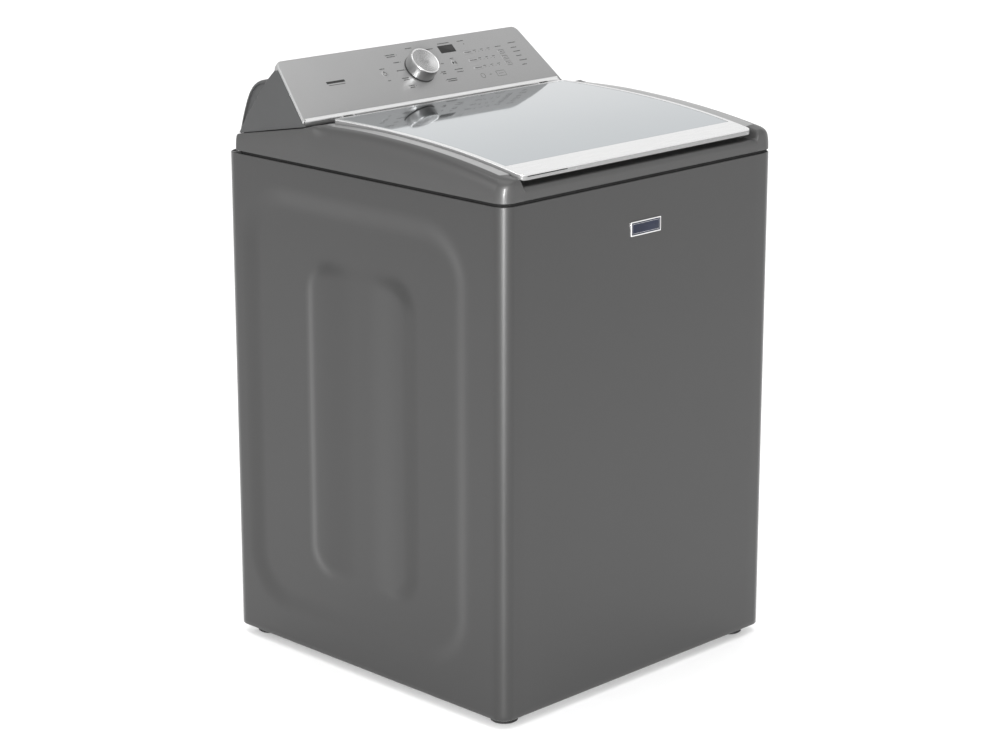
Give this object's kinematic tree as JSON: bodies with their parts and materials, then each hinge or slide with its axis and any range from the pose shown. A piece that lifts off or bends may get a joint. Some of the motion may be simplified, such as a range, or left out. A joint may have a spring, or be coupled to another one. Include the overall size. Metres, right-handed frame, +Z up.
{
  "type": "top load washing machine",
  "caption": "Free-standing top load washing machine with a lift-up glass lid, sloped rear console with dial and keys, and a suspended tub with belt drive.",
  "frame": {"origin": "on the floor under the middle of the footprint, front emblem and rear hose threads included", "axes": "+Z up, -Y towards the user's side (front), +X to the right seen from the front"},
  "size_m": [0.698, 0.714, 1.0932],
  "materials": {
    "cabinet_paint": "metallic slate paint, satin",
    "console_plastic": "moulded slate plastic, fine texture",
    "fascia_silver": "silver paint, satin, printed legends",
    "lid_glass": "polished glass over a silver backing",
    "lid_trim": "satin bright metal",
    "knob_metal": "spun face with a polished rim",
    "black_plastic": "moulded black plastic",
    "display_black": "smoked window",
    "white_plastic": "moulded off-white plastic",
    "stainless": "brushed stainless steel, perforated",
    "zinc_steel": "zinc-coated steel, spangled",
    "cast_aluminium": "as cast",
    "rubber": "moulded black rubber",
    "board": "solder mask",
    "brass": "turned",
    "emblem": "dark enamel in a bright rim"
  },
  "bodies": {
    "cabinet": {"cabinet_wrap": "cabinet_paint", "rear_panel": "zinc_steel", "base_frame": "zinc_steel", "top_panel": "cabinet_paint", "front_emblem": "emblem", "bleach_cup": "white_plastic", "lid_lock_housing": "black_plastic", "water_inlet_valve": "white_plastic", "drain_outlet": "black_plastic", "cord_gland": "rubber", "lid_hinge_bracket_left": "zinc_steel", "lid_hinge_bracket_right": "zinc_steel", "console_end_cap_left": "console_plastic", "console_end_cap_right": "console_plastic", "console_rear_housing": "console_plastic", "console_fascia": "fascia_silver", "display_window": "display_black", "control_board": "board", "knob_bezel": "black_plastic", "suspension_rod_front_left": "zinc_steel", "suspension_rod_front_right": "zinc_steel", "suspension_rod_rear_left": "zinc_steel", "suspension_rod_rear_right": "zinc_steel", "suspension_spring_front_left": "zinc_steel", "suspension_spring_front_right": "zinc_steel", "suspension_spring_rear_left": "zinc_steel", "suspension_spring_rear_right": "zinc_steel"},
    "lid": {"lid_frame": "console_plastic", "lid_glass": "lid_glass", "lid_trim": "lid_trim", "lid_strike": "black_plastic", "lid_hinge_arm_left": "black_plastic", "lid_hinge_arm_right": "black_plastic"},
    "selector": {"selector_knob": "knob_metal", "selector_shaft": "brass"},
    "power_key": {"power_key": "fascia_silver"},
    "start_pause_key": {"start_pause_key": "fascia_silver"},
    "temperature_key": {"temperature_key": "fascia_silver"},
    "soil_level_key": {"soil_level_key": "fascia_silver"},
    "spin_speed_key": {"spin_speed_key": "fascia_silver"},
    "option_upper_key": {"option_upper_key": "fascia_silver"},
    "option_middle_key": {"option_middle_key": "fascia_silver"},
    "option_lower_key": {"option_lower_key": "fascia_silver"},
    "foot_front_left": {"levelling_foot_front_left": "rubber"},
    "foot_front_right": {"levelling_foot_front_right": "rubber"},
    "foot_rear_left": {"levelling_foot_rear_left": "rubber"},
    "foot_rear_right": {"levelling_foot_rear_right": "rubber"},
    "tub": {"outer_tub": "white_plastic", "tub_ring": "white_plastic", "drive_frame": "zinc_steel", "gearcase": "cast_aluminium", "drive_belt": "rubber", "motor": "zinc_steel", "drain_pump": "black_plastic"},
    "basket": {"wash_basket": "stainless", "balance_ring": "white_plastic"},
    "wash_drive": {"wash_plate": "white_plastic", "drive_shaft": "zinc_steel", "drive_pulley": "cast_aluminium"},
    "motor_rotor": {"motor_pulley": "zinc_steel"}
  },
  "joints": [
    {"name": "lid_hinge", "type": "hinge", "parent": "cabinet", "child": "lid", "pos_m": [0, 0.131, 1.0005], "axis": [-1, 0, 0], "range_deg": [0, 100]},
    {"name": "selector_turn", "type": "hinge", "parent": "cabinet", "child": "selector", "pos_m": [0.003, 0.2123, 1.04872], "axis": [0, -0.6782, 0.7349], "continuous": true},
    {"name": "power_press", "type": "slide", "parent": "cabinet", "child": "power_key", "axis": [0, 0.6782, -0.7349], "range_m": [0, 0.0008], "stiffness_N_per_m": 2500, "springref_m": -0.0004},
    {"name": "start_pause_press", "type": "slide", "parent": "cabinet", "child": "start_pause_key", "axis": [0, 0.6782, -0.7349], "range_m": [0, 0.0008], "stiffness_N_per_m": 2500, "springref_m": -0.0004},
    {"name": "temperature_press", "type": "slide", "parent": "cabinet", "child": "temperature_key", "axis": [0, 0.6782, -0.7349], "range_m": [0, 0.0008], "stiffness_N_per_m": 2500, "springref_m": -0.0004},
    {"name": "soil_level_press", "type": "slide", "parent": "cabinet", "child": "soil_level_key", "axis": [0, 0.6782, -0.7349], "range_m": [0, 0.0008], "stiffness_N_per_m": 2500, "springref_m": -0.0004},
    {"name": "spin_speed_press", "type": "slide", "parent": "cabinet", "child": "spin_speed_key", "axis": [0, 0.6782, -0.7349], "range_m": [0, 0.0008], "stiffness_N_per_m": 2500, "springref_m": -0.0004},
    {"name": "option_upper_press", "type": "slide", "parent": "cabinet", "child": "option_upper_key", "axis": [0, 0.6782, -0.7349], "range_m": [0, 0.0008], "stiffness_N_per_m": 2500, "springref_m": -0.0004},
    {"name": "option_middle_press", "type": "slide", "parent": "cabinet", "child": "option_middle_key", "axis": [0, 0.6782, -0.7349], "range_m": [0, 0.0008], "stiffness_N_per_m": 2500, "springref_m": -0.0004},
    {"name": "option_lower_press", "type": "slide", "parent": "cabinet", "child": "option_lower_key", "axis": [0, 0.6782, -0.7349], "range_m": [0, 0.0008], "stiffness_N_per_m": 2500, "springref_m": -0.0004},
    {"name": "foot_turn_front_left", "type": "hinge", "parent": "cabinet", "child": "foot_front_left", "pos_m": [-0.303, -0.311, 0.03], "axis": [0, 0, 1], "continuous": true},
    {"name": "foot_turn_front_right", "type": "hinge", "parent": "cabinet", "child": "foot_front_right", "pos_m": [0.303, -0.311, 0.03], "axis": [0, 0, 1], "continuous": true},
    {"name": "foot_turn_rear_left", "type": "hinge", "parent": "cabinet", "child": "foot_rear_left", "pos_m": [-0.303, 0.311, 0.03], "axis": [0, 0, 1], "continuous": true},
    {"name": "foot_turn_rear_right", "type": "hinge", "parent": "cabinet", "child": "foot_rear_right", "pos_m": [0.303, 0.311, 0.03], "axis": [0, 0, 1], "continuous": true},
    {"name": "tub_travel", "type": "slide", "parent": "cabinet", "child": "tub", "axis": [0, 0, 1], "range_m": [-0.04, 0.01], "stiffness_N_per_m": 16000, "springref_m": 0.0241, "deforming": ["suspension_spring_front_left", "suspension_spring_front_right", "suspension_spring_rear_left", "suspension_spring_rear_right"]},
    {"name": "basket_spin", "type": "hinge", "parent": "tub", "child": "basket", "pos_m": [0, -0.01, 0.5], "axis": [0, 0, 1], "continuous": true},
    {"name": "wash_drive_spin", "type": "hinge", "parent": "tub", "child": "wash_drive", "pos_m": [0, -0.01, 0.3], "axis": [0, 0, 1], "continuous": true},
    {"name": "motor_spin", "type": "hinge", "parent": "tub", "child": "motor_rotor", "pos_m": [0.195, -0.01, 0.2], "axis": [0, 0, 1], "continuous": true}
  ],
  "couplings": [
    {"joint": "motor_spin", "follows": "wash_drive_spin", "ratio": 6.257}
  ]
}
